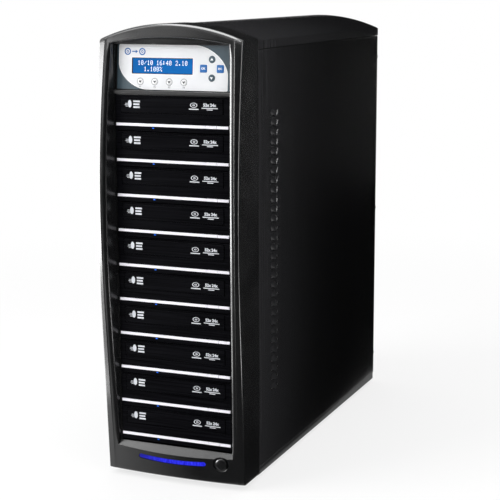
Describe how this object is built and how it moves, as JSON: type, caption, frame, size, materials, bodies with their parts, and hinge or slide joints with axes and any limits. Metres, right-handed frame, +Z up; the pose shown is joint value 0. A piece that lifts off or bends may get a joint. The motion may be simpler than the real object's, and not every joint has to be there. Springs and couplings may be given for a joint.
{
  "type": "disc duplicator tower",
  "caption": "Tower that copies discs: a column of disc drives with sliding trays under a keypad with a display, in a domed steel case behind a bowed plastic front.",
  "frame": {"origin": "on the floor, under the middle of the tower's bounding box", "axes": "+Z up, +Y to the rear, +X to the right of someone who faces the drives"},
  "size_m": [0.1828, 0.5301, 0.5532],
  "materials": {
    "bezel_plastic": "satin charcoal moulding",
    "black_steel": "black brushed steel",
    "plated_steel": "zinc plated",
    "drive_black": "black, brushed look",
    "tray_plastic": "black, fine grain",
    "silver_trim": "silver coated",
    "fascia_grey": "light grey overlay",
    "display_blue": "clear over blue",
    "key_slate": "satin",
    "key_blue": "satin",
    "key_light": "satin",
    "light_blue": "clear lens lit from behind",
    "fan_black": "moulded",
    "foot_rubber": "matte"
  },
  "bodies": {
    "tower": {"front_bezel": "bezel_plastic", "light_bar": "light_blue", "control_fascia": "fascia_grey", "lcd_module": "display_blue", "drive_01_body": "drive_black", "drive_02_body": "drive_black", "drive_03_body": "drive_black", "drive_04_body": "drive_black", "drive_05_body": "drive_black", "drive_06_body": "drive_black", "drive_07_body": "drive_black", "drive_08_body": "drive_black", "drive_09_body": "drive_black", "drive_10_body": "drive_black", "base_pan": "black_steel", "rear_panel": "black_steel", "right_side_panel": "black_steel", "left_side_panel": "black_steel", "top_cover": "black_steel", "drive_cage": "plated_steel", "foot_front_left": "foot_rubber", "foot_front_right": "foot_rubber", "foot_rear_left": "foot_rubber", "foot_rear_right": "foot_rubber", "psu_case": "plated_steel", "power_inlet": "fan_black", "psu_fan_frame": "fan_black", "case_fan_frame": "fan_black"},
    "tray_01": {"drive_01_tray": "tray_plastic"},
    "tray_02": {"drive_02_tray": "tray_plastic"},
    "tray_03": {"drive_03_tray": "tray_plastic"},
    "tray_04": {"drive_04_tray": "tray_plastic"},
    "tray_05": {"drive_05_tray": "tray_plastic"},
    "tray_06": {"drive_06_tray": "tray_plastic"},
    "tray_07": {"drive_07_tray": "tray_plastic"},
    "tray_08": {"drive_08_tray": "tray_plastic"},
    "tray_09": {"drive_09_tray": "tray_plastic"},
    "tray_10": {"drive_10_tray": "tray_plastic"},
    "eject_01": {"drive_01_eject": "silver_trim"},
    "eject_02": {"drive_02_eject": "silver_trim"},
    "eject_03": {"drive_03_eject": "silver_trim"},
    "eject_04": {"drive_04_eject": "silver_trim"},
    "eject_05": {"drive_05_eject": "silver_trim"},
    "eject_06": {"drive_06_eject": "silver_trim"},
    "eject_07": {"drive_07_eject": "silver_trim"},
    "eject_08": {"drive_08_eject": "silver_trim"},
    "eject_09": {"drive_09_eject": "silver_trim"},
    "eject_10": {"drive_10_eject": "silver_trim"},
    "up_key": {"key_up": "key_slate"},
    "down_key": {"key_down": "key_slate"},
    "ok_key": {"key_ok": "key_blue"},
    "escape_key": {"key_escape": "key_blue"},
    "function_key_1": {"key_function_1": "key_light"},
    "function_key_2": {"key_function_2": "key_light"},
    "function_key_3": {"key_function_3": "key_light"},
    "function_key_4": {"key_function_4": "key_light"},
    "power_key": {"power_button": "bezel_plastic"},
    "rocker": {"power_rocker": "fan_black"},
    "psu_rotor": {"psu_fan_rotor": "fan_black"},
    "case_rotor": {"case_fan_rotor": "fan_black"}
  },
  "joints": [
    {"name": "tray_01_slide", "type": "slide", "parent": "tower", "child": "tray_01", "axis": [0, -1, 0], "range_m": [0, 0.14]},
    {"name": "tray_02_slide", "type": "slide", "parent": "tower", "child": "tray_02", "axis": [0, -1, 0], "range_m": [0, 0.14]},
    {"name": "tray_03_slide", "type": "slide", "parent": "tower", "child": "tray_03", "axis": [0, -1, 0], "range_m": [0, 0.14]},
    {"name": "tray_04_slide", "type": "slide", "parent": "tower", "child": "tray_04", "axis": [0, -1, 0], "range_m": [0, 0.14]},
    {"name": "tray_05_slide", "type": "slide", "parent": "tower", "child": "tray_05", "axis": [0, -1, 0], "range_m": [0, 0.14]},
    {"name": "tray_06_slide", "type": "slide", "parent": "tower", "child": "tray_06", "axis": [0, -1, 0], "range_m": [0, 0.14]},
    {"name": "tray_07_slide", "type": "slide", "parent": "tower", "child": "tray_07", "axis": [0, -1, 0], "range_m": [0, 0.14]},
    {"name": "tray_08_slide", "type": "slide", "parent": "tower", "child": "tray_08", "axis": [0, -1, 0], "range_m": [0, 0.14]},
    {"name": "tray_09_slide", "type": "slide", "parent": "tower", "child": "tray_09", "axis": [0, -1, 0], "range_m": [0, 0.14]},
    {"name": "tray_10_slide", "type": "slide", "parent": "tower", "child": "tray_10", "axis": [0, -1, 0], "range_m": [0, 0.14]},
    {"name": "eject_01_press", "type": "slide", "parent": "tower", "child": "eject_01", "axis": [0, 1, 0], "range_m": [0, 0.001], "stiffness_N_per_m": 200},
    {"name": "eject_02_press", "type": "slide", "parent": "tower", "child": "eject_02", "axis": [0, 1, 0], "range_m": [0, 0.001], "stiffness_N_per_m": 200},
    {"name": "eject_03_press", "type": "slide", "parent": "tower", "child": "eject_03", "axis": [0, 1, 0], "range_m": [0, 0.001], "stiffness_N_per_m": 200},
    {"name": "eject_04_press", "type": "slide", "parent": "tower", "child": "eject_04", "axis": [0, 1, 0], "range_m": [0, 0.001], "stiffness_N_per_m": 200},
    {"name": "eject_05_press", "type": "slide", "parent": "tower", "child": "eject_05", "axis": [0, 1, 0], "range_m": [0, 0.001], "stiffness_N_per_m": 200},
    {"name": "eject_06_press", "type": "slide", "parent": "tower", "child": "eject_06", "axis": [0, 1, 0], "range_m": [0, 0.001], "stiffness_N_per_m": 200},
    {"name": "eject_07_press", "type": "slide", "parent": "tower", "child": "eject_07", "axis": [0, 1, 0], "range_m": [0, 0.001], "stiffness_N_per_m": 200},
    {"name": "eject_08_press", "type": "slide", "parent": "tower", "child": "eject_08", "axis": [0, 1, 0], "range_m": [0, 0.001], "stiffness_N_per_m": 200},
    {"name": "eject_09_press", "type": "slide", "parent": "tower", "child": "eject_09", "axis": [0, 1, 0], "range_m": [0, 0.001], "stiffness_N_per_m": 200},
    {"name": "eject_10_press", "type": "slide", "parent": "tower", "child": "eject_10", "axis": [0, 1, 0], "range_m": [0, 0.001], "stiffness_N_per_m": 200},
    {"name": "up_key_press", "type": "slide", "parent": "tower", "child": "up_key", "axis": [0, 0.9969, -0.0785], "range_m": [0, 0.0008], "stiffness_N_per_m": 200},
    {"name": "down_key_press", "type": "slide", "parent": "tower", "child": "down_key", "axis": [0, 0.9969, -0.0785], "range_m": [0, 0.0008], "stiffness_N_per_m": 200},
    {"name": "ok_key_press", "type": "slide", "parent": "tower", "child": "ok_key", "axis": [0, 0.9969, -0.0785], "range_m": [0, 0.0008], "stiffness_N_per_m": 200},
    {"name": "escape_key_press", "type": "slide", "parent": "tower", "child": "escape_key", "axis": [0, 0.9969, -0.0785], "range_m": [0, 0.0008], "stiffness_N_per_m": 200},
    {"name": "function_key_1_press", "type": "slide", "parent": "tower", "child": "function_key_1", "axis": [0, 0.9969, -0.0785], "range_m": [0, 0.0008], "stiffness_N_per_m": 200},
    {"name": "function_key_2_press", "type": "slide", "parent": "tower", "child": "function_key_2", "axis": [0, 0.9969, -0.0785], "range_m": [0, 0.0008], "stiffness_N_per_m": 200},
    {"name": "function_key_3_press", "type": "slide", "parent": "tower", "child": "function_key_3", "axis": [0, 0.9969, -0.0785], "range_m": [0, 0.0008], "stiffness_N_per_m": 200},
    {"name": "function_key_4_press", "type": "slide", "parent": "tower", "child": "function_key_4", "axis": [0, 0.9969, -0.0785], "range_m": [0, 0.0008], "stiffness_N_per_m": 200},
    {"name": "power_key_press", "type": "slide", "parent": "tower", "child": "power_key", "axis": [0, 1, 0], "range_m": [0, 0.0025], "stiffness_N_per_m": 200},
    {"name": "rocker_tip", "type": "hinge", "parent": "tower", "child": "rocker", "pos_m": [0.048, 0.25427, 0.0293], "axis": [1, 0, 0], "range_deg": [0, 16]},
    {"name": "psu_rotor_spin", "type": "hinge", "parent": "tower", "child": "psu_rotor", "pos_m": [-0.03, 0.25517, 0.0493], "axis": [0, 1, 0], "continuous": true},
    {"name": "case_rotor_spin", "type": "hinge", "parent": "tower", "child": "case_rotor", "pos_m": [0, 0.25647, 0.425], "axis": [0, 1, 0], "continuous": true}
  ]
}
